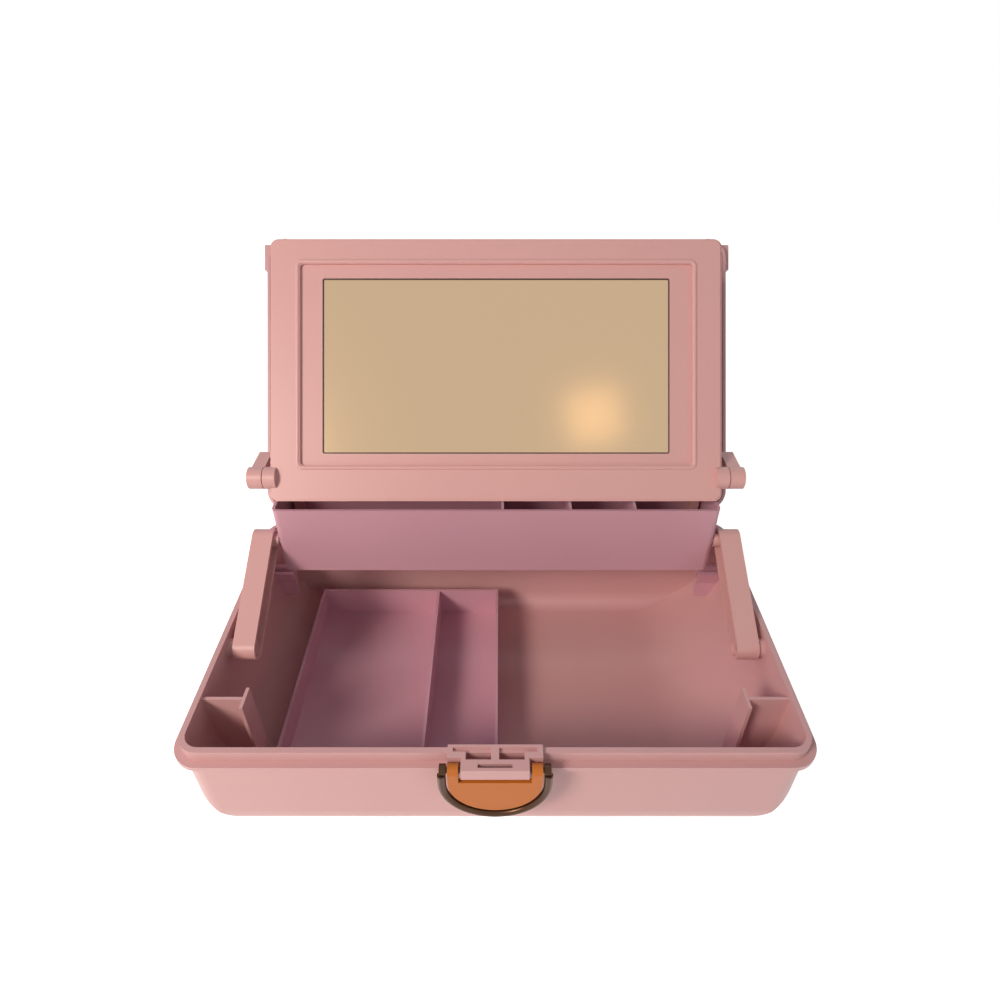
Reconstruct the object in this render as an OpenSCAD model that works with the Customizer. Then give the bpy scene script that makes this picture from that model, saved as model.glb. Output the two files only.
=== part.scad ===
// Makeup storage case: a tub with a drop-in insert, a tray that rises on two arms, a framed
// mirror that swings up from the tray, an outer lid, and a front clasp with latch and handle.
// Millimetres. +Z up, the front faces -Y, and the origin is the middle of the flat underside.

/* [Tub] */
// Half width of the tub's outer wall
tub_x = 161; // [159:0.5:163]
// Half depth of the tub's outer wall
tub_y = 92; // [90:0.5:93]
// Wall and floor thickness of the tub
tub_wall = 3; // [2:0.5:3]
// Corner radius of the tub in plan
tub_r = 12; // [8:1:18]
// Radius where the side walls turn into the floor
side_r = 55; // [40:1:58]
// Radius where the front wall turns into the floor
front_r = 25; // [16:1:30]
// Radius where the rear wall turns into the floor
rear_r = 14; // [8:1:18]
// Thickness of the flange
flange_t = 3; // [2:0.5:4]

/* [Insert] */
// Left end of the insert
insert_x0 = -128.3; // [-130:0.1:-110]
// Right end of the insert
insert_x1 = 1; // [-5:0.5:5]
// Height of the insert's top edge
insert_z = 27; // [20:0.5:27]
// Middle of the insert's divider
insert_div = -43; // [-60:1:-30]
// Wall thickness of the insert, the tray and the lid
thin = 1.8; // [1.4:0.1:1.9]

/* [Tray] */
// Front of the tray
tray_y0 = 41; // [38:1:44]
// Height of the tray's walls
tray_h = 48.5; // [42:0.5:48.5]

/* [Arms] */
// Half height of an arm
arm_r = 7; // [6.5:0.5:7.5]
// Radius of the pin at the arm's lower end
arm_pin_r = 3; // [2:0.25:3]
// Radius of the pin at the arm's upper end
tray_pin_r = 2.5; // [1.5:0.25:2.5]

/* [Mirror] */
// Angle of the mirror and of the lid, back from closed
open_angle = 126.5; // [115:0.5:126.5]
// Height of the mirror frame above its pivot
frame_top = 146; // [135:1:146]
// Half width of the mirror
glass_x = 106; // [90:1:112]
// Lower edge of the mirror above the pivot
glass_z0 = 15.1; // [12:0.1:20]
// Upper edge of the mirror above the pivot
glass_z1 = 121.9; // [110:0.1:124]
// Depth of the recess in the mirror frame
recess = 1.8; // [1:0.1:2]

/* [Lid] */
// Height of the closed lid's top
lid_top = 108.5; // [108:0.5:116]
// Radius of the lid's top edge
lid_edge_r = 16; // [8:1:16]

/* [Latch and handle] */
// Radius of the half-moon latch flap
flap_r = 23.3; // [21:0.1:23.4]
// Radius of the handle's bar
bail_t = 2.1; // [1.6:0.1:2.1]

/* [Hidden] */
$fn = 64;
fit = 0.06;                      // radial clearance of a pin in its bore
seat = 0.05;                     // gap between pieces that rest on each other
far = 400;

flange_z = 72;                   // the flange's top face
lip_z = 79;                      // the top of the lip
inner_x = tub_x - tub_wall;

hinge = [100, lip_z];            // lid hinge, y and z
hinge_pin_r = 1.5;
arm_low = [-16, 69.5];           // arm's pin in the tub, y and z
arm_high = [46, 101];            // arm's pin in the tray, y and z
tray_x = 138;
arm_in = tray_x + 3.3;           // inner and outer faces of an arm
arm_out = inner_x - 3.7;
tray_y1 = 79;
tray_z = 79.5;                   // underside of the tray
pivot = [54.3, 143.5];           // mirror pivot, y and z
pivot_r = 6.8;
mirror_pin_r = 2;
swing_r = 14.3;                  // lower edge of the frame, measured from the pivot
frame_back = 4.5;
frame_front = -2.5;

clasp_axis = [-100, 76.5];       // latch and handle, y and z
clasp_pin_r = 1.4;
clasp_top = 80.5;

// A rectangle from corner a to corner b with round corners.
module rounded(a, b, r) {
    translate([a[0] + r, a[1]]) square([b[0] - a[0] - 2 * r, b[1] - a[1]]);
    translate([a[0], a[1] + r]) square([b[0] - a[0], b[1] - a[1] - 2 * r]);
    for (x = [a[0] + r, b[0] - r], y = [a[1] + r, b[1] - r])
        translate([x, y]) circle(r);
}

// A box from corner a to corner b.
module block(a, b) {
    translate(a) cube(b - a);
}

// Raises a YZ outline along X, from x0 to x1.
module along_x(x0, x1) {
    translate([x0, 0, 0]) rotate([90, 0, 90]) linear_extrude(x1 - x0) children();
}

// A round bar along X about the point p of the YZ plane.
module bar(x0, x1, p, r) {
    translate([x0, p[0], p[1]]) rotate([0, 90, 0]) cylinder(h = x1 - x0, r = r);
}

// Draws its child at the right and mirrored at the left.
module both() {
    children();
    mirror([1, 0, 0]) children();
}

// An upright profile with its two lower corners rounded by r0 and r1.
module bowl(half, z0, z1, r0, r1) {
    translate([-half + r0, z0]) square([2 * half - r0 - r1, z1 - z0]);
    translate([-half, z0 + r0]) square([r0, z1 - z0 - r0]);
    translate([half - r1, z0 + r1]) square([r1, z1 - z0 - r1]);
    translate([-half + r0, z0 + r0]) circle(r0);
    translate([half - r1, z0 + r1]) circle(r1);
}

// The tub's solid form up to height z1, inset by t from its outer faces.
module tub_form(t, z1) {
    x = tub_x - t;
    y = tub_y - t;
    intersection() {
        translate([0, 0, t]) linear_extrude(z1 - t) rounded([-x, -y], [x, y], tub_r - t);
        translate([0, far / 2, 0]) rotate([90, 0, 0]) linear_extrude(far)
            bowl(x, t, z1, side_r - t, side_r - t);
        along_x(-far / 2, far / 2) bowl(y, t, z1, front_r - t, rear_r - t);
    }
}

module base_tub() color("#c596a4") {
    difference() {
        union() {
            difference() {
                union() {
                    tub_form(0, lip_z);
                    translate([0, 0, flange_z - flange_t]) linear_extrude(flange_t)
                        rounded([-tub_x - 4, -tub_y - 4], [tub_x + 4, tub_y + 4], tub_r + 4);
                }
                tub_form(tub_wall, lip_z + 1);
            }
            intersection() {
                tub_form(tub_wall / 2, lip_z);
                both() corner_rib();
            }
            both() bar(arm_out + 0.3, inner_x + 1, arm_low, 5.5);
            both() hinge_post();
        }
        both() bar(arm_in, tub_x - 1, arm_low, arm_pin_r + fit);
        both() bar(80, 120, hinge, hinge_pin_r + fit);
    }
}

// T-shaped rib that stands in a front corner.
module corner_rib() {
    block([134.5, -58.9, 0], [inner_x + 1, -57.1, lip_z - 2]);
    block([134.5, -64.5, 0], [136.3, -51, lip_z - 2]);
}

// The tub's knuckle of one lid hinge, on a foot that rises from the flange.
module hinge_post() {
    bar(96, 104, hinge, 4);
    block([96, tub_y - 0.5, flange_z - flange_t], [104, hinge[0] + 4, flange_z]);
    block([96, hinge[0] - 2, flange_z - 1], [104, hinge[0] + 4, hinge[1]]);
}

module compartment_insert() color("#b98492") {
    difference() {
        intersection() {
            tub_form(tub_wall + seat, insert_z);
            block([insert_x0, -far, 0], [insert_x1, 77.4, insert_z]);
        }
        for (cell = [[insert_x0 + thin, insert_div - thin / 2],
                     [insert_div + thin / 2, insert_x1 - thin]])
            intersection() {
                tub_form(tub_wall + seat + thin, insert_z + 1);
                block([cell[0], -far, 0], [cell[1], 77.4 - thin, insert_z + 1]);
            }
    }
}

// Y-shaped catch on the side wall, clear of the arm's travel.
module wall_bracket() {
    intersection() {
        tub_form(tub_wall + seat, lip_z);
        along_x(143, 158) union() {
            translate([66, 32]) square([3, 14]);
            polygon([[66, 44], [69, 44], [73, 56], [70, 56]]);
            polygon([[66, 44], [69, 44], [65, 56], [62, 56]]);
        }
    }
}
module wall_bracket_left() color("#a98aa6") mirror([1, 0, 0]) wall_bracket();
module wall_bracket_right() color("#a98aa6") wall_bracket();

// Bracket over the front lip, open between its bars, that holds the clasp pin.
module clasp_bracket() color("#e6b9c4") {
    difference() {
        union() {
            block([-23.7, -95.9, lip_z + seat], [23.7, -88.4, clasp_top]);
            block([-23.7, -95.9, flange_z + seat], [23.7, -92 - seat, clasp_top]);
            block([-16.8, -102.9, 73], [16.8, -92 - seat, clasp_top]);
        }
        both() block([2, -92.3, 70], [21, -90.1, 90]);
        both() block([2, -96.7, 70], [14.5, -92.2, 90]);
        block([-8.5, -101.1, 70], [8.5, -99.1, 90]);
        bar(-30, 30, clasp_axis, clasp_pin_r + fit);
    }
}

module clasp_pin() color("#6a4c3c") bar(-27, 27, clasp_axis, clasp_pin_r);

// Half-moon flap with an ear at each side of the bracket.
module latch_flap() color("#bb702b") {
    difference() {
        union() {
            intersection() {
                translate([0, -101, 69.5]) rotate([90, 0, 0])
                    cylinder(h = 2.5, r = flap_r, $fn = 96);
                block([-40, -120, 0], [40, -80, 69.5]);
            }
            block([-flap_r, -103.5, 69.4], [flap_r, -101, 71]);
            both() block([18, -103.5, 69.4], [flap_r, -101, clasp_axis[1]]);
            both() bar(18, flap_r, clasp_axis, 3.5);
        }
        bar(-30, 30, clasp_axis, clasp_pin_r + fit);
    }
}

// D-shaped bail around the flap, with an eye at each end.
module carry_handle() color("#3f2a1c") {
    arc_r = 26.2;
    arc_z = 68.3;
    difference() {
        union() {
            translate([0, -102.5, arc_z]) rotate([90, 0, 0]) intersection() {
                rotate_extrude($fn = 96) translate([arc_r, 0]) circle(bail_t, $fn = 32);
                block([-60, -60, -10], [60, 0, 10]);
            }
            both() translate([arc_r, -102.5, arc_z - 0.01])
                cylinder(h = clasp_axis[1] - arc_z, r = bail_t, $fn = 32);
            both() bar(24.2, 27.4, clasp_axis, 3.2);
        }
        bar(-40, 40, clasp_axis, clasp_pin_r + fit);
    }
}

// Outline of an arm between its two pins, seen along X.
module arm_outline(r) {
    run = arm_high - arm_low;
    translate(arm_low) circle(r);
    translate(arm_high) circle(r);
    translate(arm_low) rotate(atan2(run[1], run[0])) translate([0, -r]) square([norm(run), 2 * r]);
}

// Arm that is hollow on its inner side, with a hub at each pin.
module arm() {
    difference() {
        union() {
            difference() {
                along_x(arm_in, arm_out) arm_outline(arm_r);
                along_x(arm_in - 1, arm_out - 3) arm_outline(arm_r - 2);
            }
            bar(arm_in + 2, arm_out, arm_low, arm_pin_r + 1.6);
            bar(tray_x + 0.4, arm_out, arm_high, tray_pin_r + 1.8);
        }
        bar(arm_in - 1, arm_out + 1, arm_low, arm_pin_r + fit);
        bar(tray_x, arm_out - 1, arm_high, tray_pin_r + fit);
    }
}
module arm_left() color("#c08a94") mirror([1, 0, 0]) arm();
module arm_right() color("#c08a94") arm();

module arm_pin() bar(arm_in + 2.2, tub_x - 1.2, arm_low, arm_pin_r);
module arm_pin_left() color("#b9b2a8") mirror([1, 0, 0]) arm_pin();
module arm_pin_right() color("#b9b2a8") arm_pin();

module tray() color("#ba8792") {
    difference() {
        translate([0, 0, tray_z]) linear_extrude(tray_h)
            rounded([-tray_x, tray_y0], [tray_x, tray_y1], 4);
        translate([0, 0, tray_z + thin]) linear_extrude(tray_h)
            rounded([-tray_x + thin, tray_y0 + thin], [tray_x - thin, tray_y1 - thin], 2.2);
        both() bar(tray_x - 5, tray_x + 1, arm_high, tray_pin_r + fit);
    }
}

module tray_divider(x) {
    block([x - 0.8, tray_y0 + thin + seat, tray_z + thin + seat],
          [x + 0.8, tray_y1 - thin - seat, tray_z + tray_h - 1]);
}
module tray_divider_1() color("#b98fa8") tray_divider(4);
module tray_divider_2() color("#b98fa8") tray_divider(46);
module tray_divider_3() color("#b98fa8") tray_divider(86);

module tray_pin() bar(tray_x - thin + 0.2, arm_out - 1.2, arm_high, tray_pin_r);
module tray_pin_left() color("#b9b2a8") mirror([1, 0, 0]) tray_pin();
module tray_pin_right() color("#b9b2a8") tray_pin();

// Post in a rear corner of the tray that reaches round to a cap beside the mirror frame.
module mirror_post() {
    difference() {
        union() {
            block([tray_x - 10, 71, tray_z + thin + seat], [tray_x - 4, 77, 148]);
            block([tray_x - 10, 71, 138.5], [tray_x + 12.5, 77, 148]);
            block([tray_x + 4.5, pivot[0], 141.5], [tray_x + 12.5, 77, 148]);
            bar(tray_x + 4, tray_x + 13, pivot, pivot_r);
        }
        bar(tray_x + 3, tray_x + 12.2, pivot, mirror_pin_r + fit);
    }
}
module mirror_post_left() color("#c08a94") mirror([1, 0, 0]) mirror_post();
module mirror_post_right() color("#c08a94") mirror_post();

module mirror_pin() bar(tray_x - 4, tray_x + 12, pivot, mirror_pin_r);
module mirror_pin_left() color("#b9b2a8") mirror([1, 0, 0]) mirror_pin();
module mirror_pin_right() color("#b9b2a8") mirror_pin();

// Turns an upright drawing about the mirror pivot to where the mirror stands.
module at_mirror() {
    translate([0, pivot[0], pivot[1]]) rotate([90 - open_angle, 0, 0]) children();
}

// A panel in the XZ plane between two y values, with round corners.
module panel(half, z0, z1, y0, y1, r) {
    translate([0, y1, 0]) rotate([90, 0, 0]) linear_extrude(y1 - y0)
        rounded([-half, z0], [half, z1], r);
}

module mirror_frame() color("#dba0a4") at_mirror() {
    difference() {
        intersection() {
            union() {
                panel(tray_x, -swing_r, frame_top, frame_front + 1.2, frame_back - 1.2, 5);
                panel(tray_x - 1.2, -swing_r + 1.2, frame_top - 1.2, frame_front, frame_back, 4);
                both() bar(tray_x - 4, tray_x + 3.5, [0, 0], pivot_r);
            }
            union() {
                bar(-far / 2, far / 2, [0, 0], swing_r);
                block([-far / 2, -20, 0], [far / 2, 20, far]);
            }
        }
        panel(119.6, 7.8, 130.4, frame_front - 1, frame_front + recess, 2);
        panel(glass_x + 0.3, glass_z0 - 0.3, glass_z1 + 0.3, frame_front, frame_front + 4.6, 1.3);
        both() bar(tray_x - 4.2, tray_x + 4, [0, 0], mirror_pin_r + fit);
    }
}

module mirror_glass() color("#b99d80") at_mirror()
    panel(glass_x, glass_z0, glass_z1, frame_front + 2.5, frame_front + 4.5, 1);

lid_half = 163.8;
lid_front = -98;
lid_rear = 95.8;
skirt_z = flange_z + 0.3;
// Solid form of the closed lid, inset by t from its outer faces, from z0 upwards.
module lid_form(t, z0) {
    x = lid_half - t;
    r = lid_edge_r - t;
    mid = (lid_front + lid_rear) / 2;
    half_y = (lid_rear - lid_front) / 2 - t;
    top = lid_top - t;
    intersection() {
        translate([0, mid, z0]) linear_extrude(top - z0)
            rounded([-x, -half_y], [x, half_y], lid_edge_r - 2 - t);
        translate([0, far / 2, 0]) rotate([90, 0, 0]) linear_extrude(far)
            rounded([-x, z0 - far], [x, top], r);
        translate([0, mid, 0]) along_x(-far / 2, far / 2)
            rounded([-half_y, z0 - far], [half_y, top], r);
    }
}

// Turns a drawing of the closed lid back about its hinge.
module at_lid() {
    translate([0, hinge[0], hinge[1]]) rotate([-open_angle, 0, 0])
        translate([0, -hinge[0], -hinge[1]]) children();
}

module lid_shell() color("#cf9ba4") at_lid() {
    difference() {
        union() {
            difference() {
                union() {
                    lid_form(0, skirt_z);
                    both() block([lid_half - 3, -96, 79], [168, -78, 90]);
                }
                lid_form(thin, skirt_z - 1);
                block([-150, lid_front - 1, 60], [150, -90, 76]);
                block([-158, 90, 60], [158, lid_rear + 1, 76]);
                block([-29, lid_front - 1, 60], [29, -90, 84]);
                both() block([95, 90, 60], [105, lid_rear + 1, 84]);
            }
            both() lid_knuckles();
        }
        both() bar(80, 120, hinge, hinge_pin_r + fit);
    }
}

// The lid's two knuckles of one hinge, joined to its rear wall.
module lid_knuckles() {
    for (x = [[86, 95.5], [104.5, 114]]) {
        bar(x[0], x[1], hinge, 4);
        block([x[0], lid_rear - 1, hinge[1] - 1], [x[1], hinge[0], hinge[1] + 4]);
    }
}

module lid_hinge_pin() bar(85, 115, hinge, hinge_pin_r);
module lid_hinge_pin_left() color("#b9b2a8") mirror([1, 0, 0]) lid_hinge_pin();
module lid_hinge_pin_right() color("#b9b2a8") lid_hinge_pin();

base_tub();
compartment_insert();
wall_bracket_left();
wall_bracket_right();
clasp_bracket();
clasp_pin();
latch_flap();
carry_handle();
arm_left();
arm_right();
arm_pin_left();
arm_pin_right();
tray();
tray_divider_1();
tray_divider_2();
tray_divider_3();
tray_pin_left();
tray_pin_right();
mirror_post_left();
mirror_post_right();
mirror_pin_left();
mirror_pin_right();
mirror_frame();
mirror_glass();
lid_shell();
lid_hinge_pin_left();
lid_hinge_pin_right();
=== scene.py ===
"""Makeup storage case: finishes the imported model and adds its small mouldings.

Metres. +Z up, the clasp faces -Y, and the origin is the middle of the tub's flat underside.
"""

import math

import bpy
import numpy as np
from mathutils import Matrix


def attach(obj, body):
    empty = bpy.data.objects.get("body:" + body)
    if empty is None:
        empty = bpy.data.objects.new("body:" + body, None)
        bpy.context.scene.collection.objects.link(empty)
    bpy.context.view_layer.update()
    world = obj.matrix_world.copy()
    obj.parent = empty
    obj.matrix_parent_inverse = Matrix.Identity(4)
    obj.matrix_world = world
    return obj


MM = 0.001

# The mirror's pivot, and how far the open mirror leans back from upright.
MIRROR_PIVOT_Y = 54.3 * MM
MIRROR_PIVOT_Z = 143.5 * MM
MIRROR_LEAN = math.radians(36.5)

# The bead round the frame's recess. The mirror is drawn upright, with its pivot at the origin.
RECESS_HALF_WIDTH = 121.2 * MM
RECESS_FOOT = 6.2 * MM
RECESS_TOP = 132 * MM
RECESS_CORNER = 3 * MM
RECESS_FACE = -2.5 * MM
RECESS_BEAD_WIDTH = 1.3 * MM
RECESS_BEAD_HEIGHT = 0.7 * MM

# A thin dark line of painted shade, standing in for the shaded gap round the mirror sheet, drawn
# in the same way.
SHEET_HALF_WIDTH = 105.95 * MM
SHEET_FOOT = 15.15 * MM
SHEET_TOP = 121.85 * MM
SHEET_CORNER = 1 * MM
SHEET_FACE = -0.1 * MM
SHADE_LINE_WIDTH = 0.5 * MM
SHADE_LINE_HEIGHT = 0.2 * MM

# The domes on the outer ends of the mirror posts.
POST_END_X = 151 * MM
DOME_RADIUS = 5.6 * MM
DOME_RISE = 0.8 * MM
DOME_INNER_SHARE = 0.02

# How finely the round stretches are drawn.
CORNER_POINTS = 10
BEAD_POINTS = 12
DOME_RINGS = 8
DOME_POINTS = 24

# The plastic's tone drifts in patches about 110 mm across. Its satin grain is much finer in life,
# and is drawn about 1.1 mm across so that it shows.
TONE_PATCHES_PER_METRE = 9.0
GRAINS_PER_METRE = 900.0
GRAIN_DEPTH = 0.2 * MM
PLASTIC_SPECULAR = 0.45
COAT_ROUGHNESS = 0.15

# Edges that turn by more than this are softened.
SHARP_EDGE = math.radians(40)

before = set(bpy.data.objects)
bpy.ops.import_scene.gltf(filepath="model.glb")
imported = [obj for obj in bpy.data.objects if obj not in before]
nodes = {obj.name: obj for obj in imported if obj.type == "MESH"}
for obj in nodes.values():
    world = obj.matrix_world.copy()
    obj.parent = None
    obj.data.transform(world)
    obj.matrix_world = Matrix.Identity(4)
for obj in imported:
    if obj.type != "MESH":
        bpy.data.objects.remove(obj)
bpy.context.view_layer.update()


# ---------------------------------------------------------------- colours and materials


def srgb(code):
    """Linear RGBA of a colour written as a hex code, by the sRGB transfer curve."""
    channels = [int(code[i : i + 2], 16) / 255 for i in (1, 3, 5)]
    linear = [c / 12.92 if c <= 0.04045 else ((c + 0.055) / 1.055) ** 2.4 for c in channels]
    return (*linear, 1.0)


def add_node(tree, kind, inputs=None, **settings):
    """Adds a shader node. An input is a plain value, or another node's output to link."""
    made = tree.nodes.new(kind)
    for name, value in settings.items():
        setattr(made, name, value)
    for name, value in (inputs or {}).items():
        if isinstance(value, bpy.types.NodeSocket):
            tree.links.new(value, made.inputs[name])
        else:
            made.inputs[name].default_value = value
    return made


def new_material(name):
    """An empty material, its node tree and its output node."""
    material = bpy.data.materials.new(name)
    material.use_nodes = True
    tree = material.node_tree
    tree.nodes.clear()
    return material, tree, add_node(tree, "ShaderNodeOutputMaterial")


def moulded_plastic(name, tone, deep_tone, roughness, grain):
    """Moulded plastic: two close tones that drift over the surface, and a satin grain."""
    material, tree, output = new_material(name)
    place = add_node(tree, "ShaderNodeTexCoord").outputs["Object"]
    drift = add_node(
        tree,
        "ShaderNodeTexNoise",
        {"Vector": place, "Scale": TONE_PATCHES_PER_METRE, "Detail": 2.0},
    )
    colour = add_node(
        tree,
        "ShaderNodeMixRGB",
        {"Fac": drift.outputs["Fac"], "Color1": srgb(tone), "Color2": srgb(deep_tone)},
    )
    fine = add_node(
        tree,
        "ShaderNodeTexNoise",
        {"Vector": place, "Scale": GRAINS_PER_METRE, "Detail": 3.0},
    )
    bump = add_node(
        tree,
        "ShaderNodeBump",
        {"Height": fine.outputs["Fac"], "Strength": grain, "Distance": GRAIN_DEPTH},
    )
    shader = add_node(
        tree,
        "ShaderNodeBsdfPrincipled",
        {
            "Base Color": colour.outputs["Color"],
            "Roughness": roughness,
            "Specular IOR Level": PLASTIC_SPECULAR,
            "Normal": bump.outputs["Normal"],
        },
    )
    tree.links.new(shader.outputs["BSDF"], output.inputs["Surface"])
    return material


def plain_finish(name, tone, roughness, metallic, coat):
    """One even finish, with a clear coat where coat is above nothing."""
    material, tree, output = new_material(name)
    shader = add_node(
        tree,
        "ShaderNodeBsdfPrincipled",
        {
            "Base Color": srgb(tone),
            "Roughness": roughness,
            "Metallic": metallic,
            "Coat Weight": coat,
            "Coat Roughness": COAT_ROUGHNESS,
        },
    )
    tree.links.new(shader.outputs["BSDF"], output.inputs["Surface"])
    return material


# Moulded polypropylene of the tub and the lid: a dusty pink with a satin shine.
case_pink = moulded_plastic("dusty pink polypropylene", "#D8B0AE", "#CFA3A8", 0.36, 0.12)
# Moulded polypropylene of the tray and the insert: duller than the tub, and more lilac.
tray_pink = moulded_plastic("lilac pink polypropylene", "#D6A9B8", "#CB9DB0", 0.4, 0.12)
# Moulded polypropylene of the mirror frame, arms and posts: the warmest pink on the case.
panel_pink = moulded_plastic("salmon pink polypropylene", "#DDB0AC", "#D5A6A8", 0.38, 0.1)
# Moulded acetal of the latch flap: an even amber with a satin shine.
amber_acetal = plain_finish("amber acetal", "#BF6C1C", 0.5, 0.0, 0.0)
# Dark bronze paint on the handle and the clasp's pin: a thin bright line along the round.
dark_bronze = plain_finish("dark bronze", "#4A3222", 0.34, 0.85, 0.1)
# Steel of the pivots' pins: an even grey shine.
pin_steel = plain_finish("pin steel", "#B7B3AE", 0.3, 1.0, 0.0)
# Silvered plastic of the mirror: its champagne cast is a painted reflection of a warm beige room,
# and its reflections are a little soft.
mirror_with_painted_reflection = plain_finish("silvered mirror with painted champagne reflection", "#C8AC8B", 0.14, 1.0, 0.0)
# Painted shade of the gap round the mirror sheet: a thin dark line round the mirror.
painted_gap_shade = plain_finish("painted shade in the mirror's gap", "#4C3B35", 0.4, 0.4, 0.0)


def both(name):
    """The names of a left and right pair of nodes."""
    return [f"{name}_left", f"{name}_right"]


# Each finish, and the nodes that have it.
FINISHES = {
    case_pink: ["base_tub", "clasp_bracket", "lid_shell"],
    tray_pink: [
        "compartment_insert",
        *both("wall_bracket"),
        "tray",
        *[f"tray_divider_{number}" for number in (1, 2, 3)],
    ],
    panel_pink: ["mirror_frame", *both("arm"), *both("mirror_post")],
    amber_acetal: ["latch_flap"],
    dark_bronze: ["carry_handle", "clasp_pin"],
    mirror_with_painted_reflection: ["mirror_glass"],
    pin_steel: [
        *both("arm_pin"),
        *both("tray_pin"),
        *both("mirror_pin"),
        *both("lid_hinge_pin"),
    ],
}

# Width of the softened edge in millimetres, and the nodes that have it.
EDGE_SOFTNESS = {
    0.4: ["clasp_bracket"],
    0.5: ["latch_flap", *both("wall_bracket")],
    0.6: ["lid_shell", "tray", "compartment_insert"],
    0.8: ["base_tub", *both("arm"), *both("mirror_post")],
    0.9: ["mirror_frame"],
}


def paint(piece, material):
    """Gives a node one material in place of what it came with."""
    piece.data.materials.clear()
    piece.data.materials.append(material)


def soften_edges(piece, width_mm):
    """Rounds the sharp edges of a moulded piece."""
    bevel = piece.modifiers.new("mould radius", "BEVEL")
    bevel.width = width_mm * MM
    bevel.segments = 2
    bevel.limit_method = "ANGLE"
    bevel.angle_limit = SHARP_EDGE


for material, names in FINISHES.items():
    for name in names:
        paint(nodes[name], material)

for width_mm, names in EDGE_SOFTNESS.items():
    for name in names:
        soften_edges(nodes[name], width_mm)


# ---------------------------------------------------------------- surfaces


def grid_piece(name, points, material, body, closed_u=True):
    """A smooth mesh over a grid of points [u, v, xyz], with quads between neighbours.

    The grid always closes along v, and along u too unless closed_u is false.
    """
    count_u, count_v = points.shape[:2]
    index = np.arange(count_u * count_v).reshape(count_u, count_v)
    if closed_u:
        index = np.concatenate([index, index[:1]], axis=0)
    index = np.concatenate([index, index[:, :1]], axis=1)
    corners = [index[:-1, :-1], index[1:, :-1], index[1:, 1:], index[:-1, 1:]]
    faces = np.stack(corners, axis=-1).reshape(-1, 4)
    mesh = bpy.data.meshes.new(name)
    mesh.from_pydata(points.reshape(-1, 3).tolist(), [], faces.tolist())
    mesh.polygons.foreach_set("use_smooth", np.ones(len(faces), dtype=bool))
    mesh.materials.append(material)
    piece = bpy.data.objects.new(name, mesh)
    bpy.context.scene.collection.objects.link(piece)
    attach(piece, body)


def rounded_loop(half_x, low, high, radius):
    """Points and outward directions round a rectangle with round corners.

    Each corner is a quarter circle: its centre plus radius times the direction at that angle.
    """
    start = np.array([0.0, 0.5, 1.0, 1.5]) * math.pi
    quarter = np.linspace(0, math.pi / 2, CORNER_POINTS)
    angle = (start[:, None] + quarter[None, :]).reshape(-1)
    inner_x = half_x - radius
    upper_z = high - radius
    lower_z = low + radius
    centre_x = np.repeat([inner_x, -inner_x, -inner_x, inner_x], CORNER_POINTS)
    centre_z = np.repeat([upper_z, upper_z, lower_z, lower_z], CORNER_POINTS)
    outward = np.stack([np.cos(angle), np.sin(angle)], axis=-1)
    return np.stack([centre_x, centre_z], axis=-1) + radius * outward, outward


def bead_round(half_x, low, high, radius, face_y, across, height):
    """An oval bead carried round a loop in the XZ plane, standing towards -Y.

    At angle v of the section, the point lies across*cos(v) outwards and height*sin(v) forwards.
    """
    loop, outward = rounded_loop(half_x, low, high, radius)
    v = np.linspace(0, 2 * math.pi, BEAD_POINTS, endpoint=False)
    side = across * np.cos(v)[None, :]
    x = loop[:, None, 0] + outward[:, None, 0] * side
    z = loop[:, None, 1] + outward[:, None, 1] * side
    y = np.broadcast_to(face_y - height * np.sin(v), x.shape)
    return np.stack([x, y, z], axis=-1)


def lean_back(points):
    """Turns an upright drawing back about X, and moves it to the mirror's pivot.

    The new y is y*cos + z*sin of the lean, and the new z is z*cos - y*sin.
    """
    y = points[..., 1] * math.cos(MIRROR_LEAN) + points[..., 2] * math.sin(MIRROR_LEAN)
    z = -points[..., 1] * math.sin(MIRROR_LEAN) + points[..., 2] * math.cos(MIRROR_LEAN)
    return np.stack([points[..., 0], y + MIRROR_PIVOT_Y, z + MIRROR_PIVOT_Z], axis=-1)


def domed_head(side):
    """A shallow dome on the end of a post: at share t of its radius it stands rise*(1 - t^2).

    The share starts just above nothing, so a hole 0.11 mm in radius is left at the pole. The faces
    point towards +X on both sides, so the left dome's point inwards.
    """
    t = np.linspace(DOME_INNER_SHARE, 1.0, DOME_RINGS)[:, None]
    v = np.linspace(0, 2 * math.pi, DOME_POINTS, endpoint=False)[None, :]
    x = np.broadcast_to(side * (POST_END_X + DOME_RISE * (1 - t**2)), (t.size, v.size))
    y = MIRROR_PIVOT_Y + DOME_RADIUS * t * np.cos(v)
    z = MIRROR_PIVOT_Z + DOME_RADIUS * t * np.sin(v)
    return np.stack([x, y, z], axis=-1)


frame_bead = bead_round(
    RECESS_HALF_WIDTH,
    RECESS_FOOT,
    RECESS_TOP,
    RECESS_CORNER,
    RECESS_FACE,
    RECESS_BEAD_WIDTH,
    RECESS_BEAD_HEIGHT,
)
grid_piece("frame_inner_bead", lean_back(frame_bead), panel_pink, "mirror")

# A thin dark line of painted shade round the mirror sheet, where the gap lies in shade.
shade_line_round_sheet = bead_round(
    SHEET_HALF_WIDTH,
    SHEET_FOOT,
    SHEET_TOP,
    SHEET_CORNER,
    SHEET_FACE,
    SHADE_LINE_WIDTH,
    SHADE_LINE_HEIGHT,
)
grid_piece("mirror_gap_shade_line", lean_back(shade_line_round_sheet), painted_gap_shade, "mirror")

for side, label in ((-1, "left"), (1, "right")):
    name = f"post_cap_dome_{label}"
    grid_piece(name, domed_head(side), panel_pink, "tray", closed_u=False)


# ---------------------------------------------------------------- stage

FLOOR_SIZE = 2.4
FLOOR_GLOW = 0.85
PAPER_ROUGHNESS = 0.9

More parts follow.
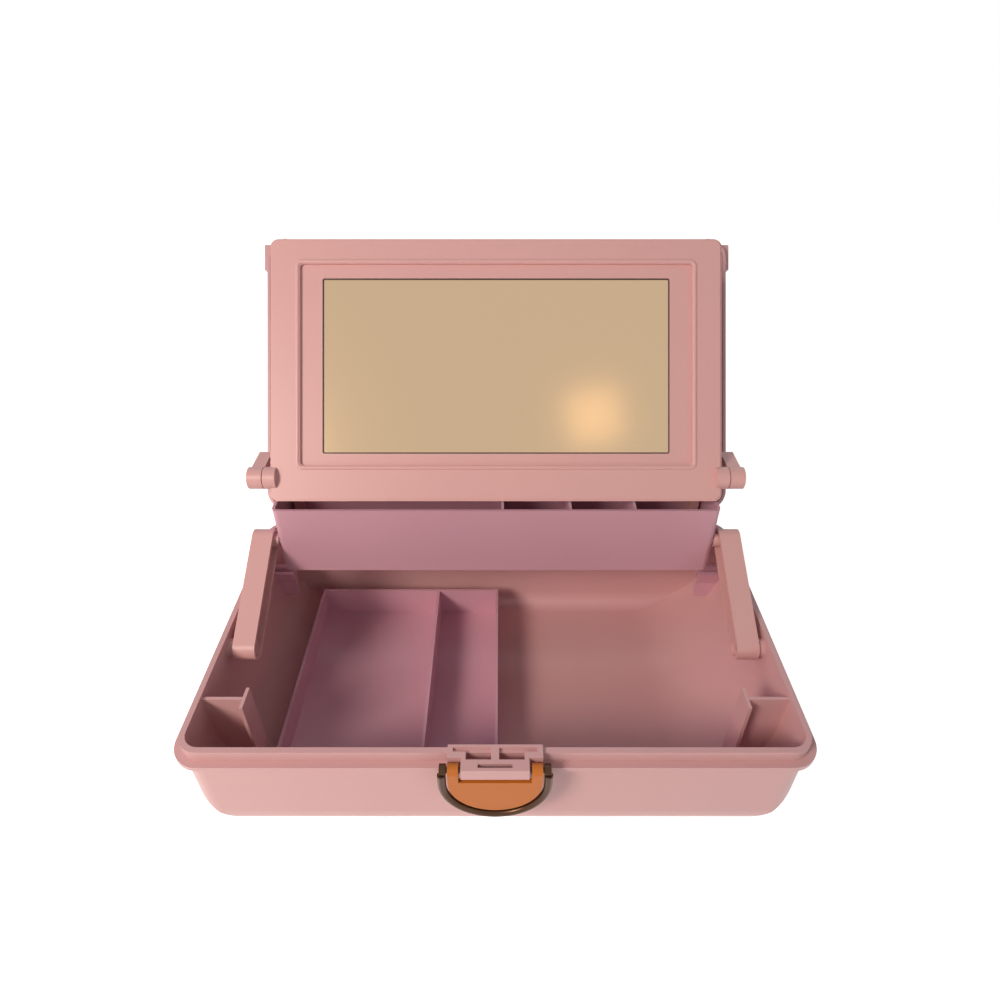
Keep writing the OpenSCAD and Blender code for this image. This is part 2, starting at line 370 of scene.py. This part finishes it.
# Linear colours of the floor's paper and of plain white.
PAPER_WHITE = (0.9, 0.9, 0.9, 1.0)
PLAIN_WHITE = (1.0, 1.0, 1.0, 1.0)

# How strong the world is as light on the case, and as what is seen directly.
AIR_LIGHT = 0.2
AIR_SEEN = 1.0

# What every lamp faces: the middle of the case.
LAMP_AIM = (0.0, 0.05, 0.1)

# Each lamp's name, place in metres, width in metres, watts and colour. The last is a small warm
# one, placed where the mirror shows it to the camera.
LAMPS = [
    ("key_lamp", (-0.8, -0.8, 0.85), 0.4, 13.0, "#FFEBDD"),
    ("front_lamp", (0.9, -1.2, 0.45), 0.7, 2.0, "#FFF0E6"),
    ("side_lamp", (-1.2, 0.2, 0.6), 0.6, 1.5, "#D8C8FF"),
    ("rear_lamp", (0.2, 1.2, 1.2), 0.8, 2.0, "#FFFFFF"),
    ("mirror_glow", (0.224, -0.785, 0.995), 0.12, 0.042, "#FFDCA0"),
]

CAMERA_PLACE = (0.0024, -0.2866, 0.3789)
CAMERA_TILT = math.radians(53.5)
CAMERA_LENS = 24.3
CAMERA_SENSOR = 36.0
CAMERA_NEAR = 10 * MM


def seen_directly(tree):
    """1 for camera, glossy and transmission rays, and 0 for light that falls on the object."""
    path = add_node(tree, "ShaderNodeLightPath")
    mirrored = add_node(
        tree,
        "ShaderNodeMath",
        {0: path.outputs["Is Glossy Ray"], 1: path.outputs["Is Transmission Ray"]},
        operation="MAXIMUM",
    )
    seen = add_node(
        tree,
        "ShaderNodeMath",
        {0: path.outputs["Is Camera Ray"], 1: mirrored.outputs["Value"]},
        operation="MAXIMUM",
    )
    return seen.outputs["Value"]


def studio_floor():
    """A pale floor that camera, glossy and transmission rays see lighter, so it reads as white."""
    bpy.ops.mesh.primitive_plane_add(size=FLOOR_SIZE, location=(0, 0, 0))
    floor = bpy.context.object
    floor.name = "studio_floor"
    material, tree, output = new_material("studio paper")
    glow = add_node(
        tree,
        "ShaderNodeMath",
        {0: seen_directly(tree), 1: FLOOR_GLOW},
        operation="MULTIPLY",
    )
    shader = add_node(
        tree,
        "ShaderNodeBsdfPrincipled",
        {
            "Base Color": PAPER_WHITE,
            "Roughness": PAPER_ROUGHNESS,
            "Emission Color": PLAIN_WHITE,
            "Emission Strength": glow.outputs["Value"],
        },
    )
    tree.links.new(shader.outputs["BSDF"], output.inputs["Surface"])
    floor.data.materials.append(material)


def studio_world():
    """Dim white light from all round, which is plain white where it is seen directly."""
    world = bpy.data.worlds.new("studio air")
    bpy.context.scene.world = world
    world.use_nodes = True
    tree = world.node_tree
    tree.nodes.clear()
    strength = add_node(
        tree,
        "ShaderNodeMapRange",
        {"Value": seen_directly(tree), "To Min": AIR_LIGHT, "To Max": AIR_SEEN},
    )
    sky = add_node(
        tree,
        "ShaderNodeBackground",
        {"Color": PLAIN_WHITE, "Strength": strength.outputs["Result"]},
    )
    output = add_node(tree, "ShaderNodeOutputWorld")
    tree.links.new(sky.outputs["Background"], output.inputs["Surface"])


def soft_lamp(name, location, size, power, tone):
    """A square lamp, turned to face the middle of the case."""
    lamp = bpy.data.lights.new(name, "AREA")
    lamp.size = size
    lamp.energy = power
    lamp.color = srgb(tone)[:3]
    holder = bpy.data.objects.new(name, lamp)
    bpy.context.scene.collection.objects.link(holder)
    holder.location = location
    aim = np.array(LAMP_AIM) - np.array(location)
    holder.rotation_euler = (
        math.atan2(math.hypot(aim[0], aim[1]), -aim[2]),
        0.0,
        math.atan2(aim[1], aim[0]) - math.pi / 2,
    )


def photo_camera():
    """A camera where the photo was taken from, looking down at the case."""
    camera = bpy.data.cameras.new("photo_camera")
    camera.lens = CAMERA_LENS
    camera.sensor_width = CAMERA_SENSOR
    camera.clip_start = CAMERA_NEAR
    holder = bpy.data.objects.new("photo_camera", camera)
    bpy.context.scene.collection.objects.link(holder)
    holder.location = CAMERA_PLACE
    holder.rotation_euler = (CAMERA_TILT, 0.0, 0.0)
    bpy.context.scene.camera = holder


studio_floor()
studio_world()
for lamp in LAMPS:
    soft_lamp(*lamp)
photo_camera()
bpy.context.scene.view_settings.view_transform = "Standard"
